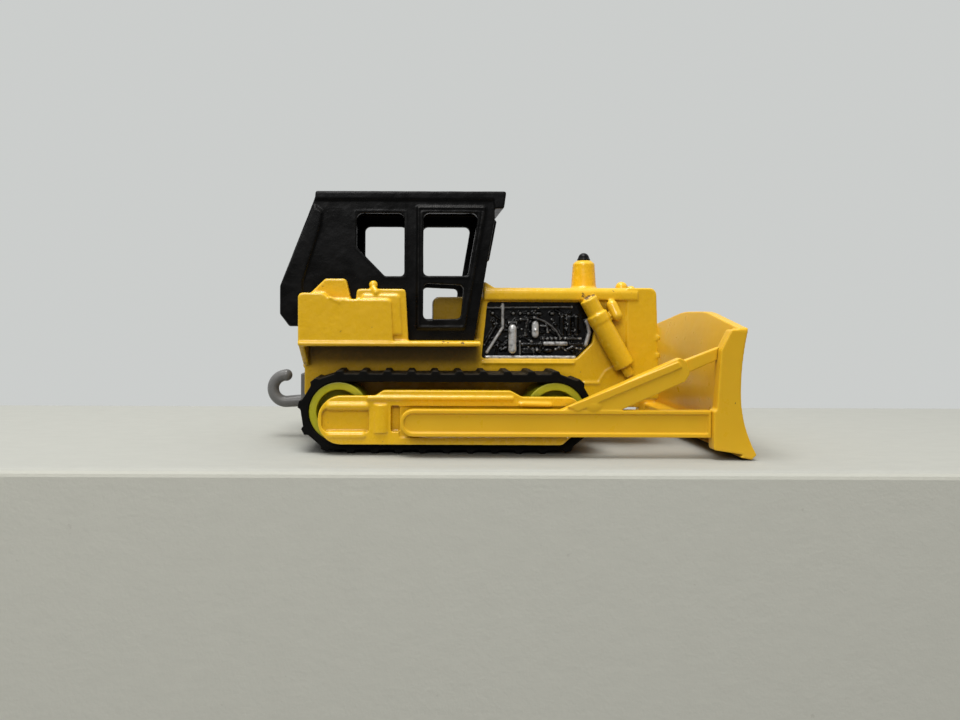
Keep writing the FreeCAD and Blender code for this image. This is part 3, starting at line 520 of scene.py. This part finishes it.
def engine():
    """The cast engine relief: rails, pipes, canisters, hoses, fins and bolts on a sunken panel."""
    clay = Clay()
    clay.plate(ENGINE_PANEL, ENGINE_Y, ENGINE_Y + 0.7)

    def at(x, z, proud=0.5):
        return (x, ENGINE_Y - proud, z)

    clay.tube([at(-0.6, 23.8), at(14.2, 24.0)], 0.3)
    clay.tube([at(2.2, 24.4, 0.6), at(2.2, 20.4, 0.6), at(-0.5, 16.1, 0.6)], 0.33)
    clay.tube([at(1.3, 21.0, 0.2), at(-0.9, 17.3, 0.2)], 0.28)
    clay.tube([at(3.92, 20.2), at(3.92, 16.5)], 0.78)
    clay.tube([at(3.86, 19.3, 0.75), at(3.86, 17.3, 0.75)], 0.42)
    clay.bar((3.2, ENGINE_Y - 0.7, 20.9), (4.7, ENGINE_Y + 0.1, 21.4))
    clay.tube([at(5.4, 21.8), at(6.5, 21.7), at(6.3, 20.3), at(6.2, 19.1)], 0.26)
    clay.tube([at(5.25, 17.9), at(5.25, 15.8)], 0.2)
    clay.tube([at(7.9, 20.9, 0.2), at(7.9, 19.2, 0.2)], 0.85)
    clay.ball(at(7.9, 19.9, 0.95), 0.3)
    hose = [(7.75, 22.1), (9.5, 21.5), (10.8, 20.6), (11.6, 19.8), (12.3, 18.6)]
    clay.tube([at(x, z) for x, z in hose], 0.3)
    clay.tube([at(8.9, 20.7), at(9.9, 20.6), at(10.1, 19.6)], 0.22)
    clay.plate([(9.4, 20.2), (12.0, 20.0), (11.5, 18.9)], ENGINE_Y - 0.35, ENGINE_Y + 0.1)
    for i in range(5):
        clay.ball(at(9.3 + 0.76 * i, 18.45, 0.35), 0.3)
    for x in (12.6, 13.85, 15.1):
        clay.tube([at(x, 22.2, 0.25), at(x, 19.3, 0.25)], 0.42)
    clay.tube([at(13.2, 18.5), at(15.8, 18.5)], 0.26)
    clay.tube([at(5.7, 17.4, 0.35), at(16.2, 17.5, 0.35)], 0.3)
    clay.tube([at(9.6, 17.6), at(13.2, 17.6)], 0.46)
    clay.bar((5.9, ENGINE_Y - 0.5, 15.9), (7.8, ENGINE_Y + 0.1, 16.7))
    clay.ball(at(8.6, 16.3, 0.1), 0.5)
    clay.ball(at(10.2, 16.4, 0.1), (0.9, 0.6, 0.55))
    clay.tube([at(11.5, 16.6), at(12.4, 17.0), at(13.3, 16.5), at(14.5, 17.0), at(15.8, 16.7)], 0.26)
    for x, width in ((0.5, 0.4), (4.1, 0.4), (5.3, 0.35), (6.7, 0.4), (8.5, 0.75), (10.9, 0.5)):
        clay.ball(at(x, 22.85, 0.1), (width, 0.55, 0.38))
    clay.tube([at(-0.6, 15.2, 0.6), at(14.7, 15.2, 0.6)], 0.36)
    clay.tube([at(16.9, 21.6), at(17.3, 19.6), at(16.7, 17.5)], 0.45)
    scatter = random.Random(7)
    for _ in range(45):
        x, z = scatter.uniform(0.2, 15.0), scatter.uniform(15.8, 23.2)
        lean = scatter.uniform(0, math.pi)
        reach = scatter.uniform(0.3, 0.9)
        run, rise = reach * math.cos(lean), reach * math.sin(lean)
        ends = [at(x + way * run, z + way * rise, 0.15) for way in (-1, 1)]
        clay.tube(ends, scatter.uniform(0.14, 0.24))
    for _ in range(70):
        x, z = scatter.uniform(0.2, 16.0), scatter.uniform(16.0, 23.4)
        clay.ball(at(x, z, scatter.uniform(0.0, 0.4)), scatter.uniform(0.16, 0.34))
    engine_right = clay.fuse("engine_relief_right", voxel=0.09, soften=1)
    place_pair(engine_right, "body", "engine_insert", "engine_black")


HOOK_CENTRE = (-36.7, 8.95)
HOOK_BEND_R = 2.43
HOOK_BAR_R = 1.05
HOOK_TIP_R = 1.1


def tow_hook():
    """A round bar bent into a hook, with a ball tip, on the upright bracket."""
    clay = Clay()
    clay.plate([(-33.7, 5.3), (-32.35, 5.3), (-32.35, 11.8), (-33.7, 11.8)], -2.2, 2.2)
    clay.bar((-32.9, -1.6, 5.4), (-30.85, 1.6, 7.6))
    x, z = HOOK_CENTRE
    angles = [math.radians(-90 - 11.25 * i) for i in range(17)]
    path = [(x + HOOK_BEND_R * math.cos(a), 0, z + HOOK_BEND_R * math.sin(a)) for a in angles]
    clay.tube(path, HOOK_BAR_R)
    clay.ball(path[-1], HOOK_TIP_R)
    clay.rod(path[0], (-32.9, 0, 6.8), HOOK_BAR_R, HOOK_TIP_R)
    return clay


def small_fixed_pieces():
    grille = Clay("radiator_grille").fuse("grille", voxel=0.12, soften=2)
    place(grille, "body", "radiator_grille", "engine_black")
    outlet = Clay("exhaust_tip").fuse("exhaust_outlet", voxel=0.1, soften=3)
    place(outlet, "body", "exhaust_tip", "black_plastic")
    place(tow_hook().fuse("hook", voxel=0.09, soften=6), "body", "tow_hook", "grey_plastic")
    floor = Clay("base_plate").fuse("floor_plate", voxel=0.15, soften=2)
    place(floor, "body", "base_plate", "grey_plastic")
    rivets = Clay("base_rivets").fuse("rivet_pair", voxel=0.12, soften=2)
    place(rivets, "body", "base_rivets", "steel")
    for end in ("front", "rear"):
        pin = Clay("axle_" + end).fuse("axle_pin_" + end, voxel=0.12, soften=2)
        place(pin, "body", "axle_" + end, "steel")
    chassis = Clay("chassis_casting").fuse("chassis", voxel=0.18, soften=4, ripple=0.04)
    place(chassis, "body", "chassis_casting", "yellow_paint")


def track_frames():
    right = Clay("track_frame_right").fuse("track_cover_right", voxel=0.11, soften=9, ripple=0.05)
    place_pair(right, "body", "track_frame", "yellow_paint")


def belts():
    right = Clay("track_belt_right").fuse("rubber_belt_right", voxel=0.12, soften=2, ripple=0.06)
    place_pair(right, "body", "track_belt", "track_rubber")


def wheels():
    for end in ("front", "rear"):
        name = "wheel_" + end
        right = Clay(name + "_right").fuse("roller_" + end + "_right", voxel=0.12, soften=3)
        place_pair(right, name, name, "lime_plastic", sided_body=True)


def blade_unit():
    moldboard = Clay("blade").fuse("moldboard", voxel=0.14, soften=5, ripple=0.05, ripple_size=4)
    place(moldboard, "blade_unit", "blade", "blade_plastic")
    arm = Clay("push_arm_right")
    arm.ball((15.05, -19.45, 8.3), (1.3, 0.3, 1.1))
    arm = arm.fuse("arm_and_brace_right", voxel=0.11, soften=4)
    place_pair(arm, "blade_unit", "push_arm", "blade_plastic")


# ---- stage ---------------------------------------------------------------------------------------
def ledge():
    """A long pale board with a soft near edge."""
    mesh = bmesh.new()
    low, high = Vector((-0.6, -0.028, -0.2)), Vector((0.6, 0.044, 0))
    middle = Matrix.Translation((low + high) / 2) @ Matrix.Diagonal((*(high - low), 1))
    bmesh.ops.create_cube(mesh, size=1, matrix=middle)

    def near_top(vert):
        return abs(vert.co.y - low.y) < 1e-6 and abs(vert.co.z) < 1e-6

    near = [edge for edge in mesh.edges if all(near_top(vert) for vert in edge.verts)]
    bmesh.ops.bevel(mesh, geom=near, offset=0.0012, segments=4, profile=0.5, affect="EDGES")
    data = bpy.data.meshes.new("ledge")
    mesh.to_mesh(data)
    data.materials.append(paper())
    board = bpy.data.objects.new("ledge", data)
    bpy.context.scene.collection.objects.link(board)


def area_light(name, place, target, size, power, colour):
    light = bpy.data.lights.new(name, "AREA")
    light.shape = "RECTANGLE"
    light.size, light.size_y = size
    light.energy = power
    light.color = colour
    lamp = bpy.data.objects.new(name, light)
    lamp.location = place
    lamp.rotation_euler = (Vector(target) - Vector(place)).to_track_quat("-Z", "Y").to_euler()
    bpy.context.scene.collection.objects.link(lamp)


def lights():
    """A pale wall for the eye. The toy is lit by a room that is dark in front and bright behind."""
    world = bpy.data.worlds.new("studio")
    world.use_nodes = True
    tree = world.node_tree
    room = tree.nodes["Background"]
    room.inputs["Strength"].default_value = 1.0
    ahead = tree.nodes.new("ShaderNodeTexCoord").outputs["Generated"]
    split = tree.nodes.new("ShaderNodeSeparateXYZ")
    tree.links.new(ahead, split.inputs[0])
    behind = tree.nodes.new("ShaderNodeMapRange")
    above = tree.nodes.new("ShaderNodeMapRange")
    for ramp, axis, low, high, start, end in (
        (behind, "Y", -0.5, 0.6, 0.13, 0.42),
        (above, "Z", 0.1, 0.9, 0.0, 0.55),
    ):
        tree.links.new(split.outputs[axis], ramp.inputs["Value"])
        for socket, value in zip(("From Min", "From Max", "To Min", "To Max"), (low, high, start, end)):
            ramp.inputs[socket].default_value = value
    both = tree.nodes.new("ShaderNodeMath")
    both.operation = "ADD"
    tree.links.new(behind.outputs[0], both.inputs[0])
    tree.links.new(above.outputs[0], both.inputs[1])
    wall = tree.nodes.new("ShaderNodeMix")
    wall.data_type = "RGBA"
    wall.inputs[7].default_value = (0.60, 0.615, 0.605, 1)
    tree.links.new(tree.nodes.new("ShaderNodeLightPath").outputs["Is Camera Ray"], wall.inputs[0])
    tree.links.new(both.outputs[0], wall.inputs[6])
    tree.links.new(wall.outputs[2], room.inputs["Color"])
    bpy.context.scene.world = world
    area_light("overhead", (-0.08, -0.10, 0.5), (0, 0, 0.01), (0.30, 0.22), 2.4, (1.0, 0.985, 0.96))
    area_light("front", (-0.15, -0.6, 0.35), (0, 0, 0.02), (0.25, 0.2), 1.6, (1.0, 0.99, 0.98))


# The main view: level, square to the toy's right side, from a little under the hood's top.
CAMERA_PLACE = (-0.0122, -0.1326, 0.0225)
CAMERA_LENS = 27.04
CAMERA_SHIFT = (0.0625, -0.0469)
CAMERA_ROLL = math.radians(-0.2)


def camera():
    data = bpy.data.cameras.new("camera")
    data.sensor_width = 36
    data.lens = CAMERA_LENS
    data.shift_x, data.shift_y = CAMERA_SHIFT
    data.clip_start, data.clip_end = 0.01, 10
    holder = bpy.data.objects.new("camera", data)
    holder.location = CAMERA_PLACE
    holder.rotation_euler = (math.radians(90), CAMERA_ROLL, 0)
    bpy.context.scene.collection.objects.link(holder)
    bpy.context.scene.camera = holder
    bpy.context.scene.view_settings.view_transform = "Standard"


camera()
body()
cab()
engine()
small_fixed_pieces()
track_frames()
belts()
wheels()
blade_unit()
ledge()
lights()
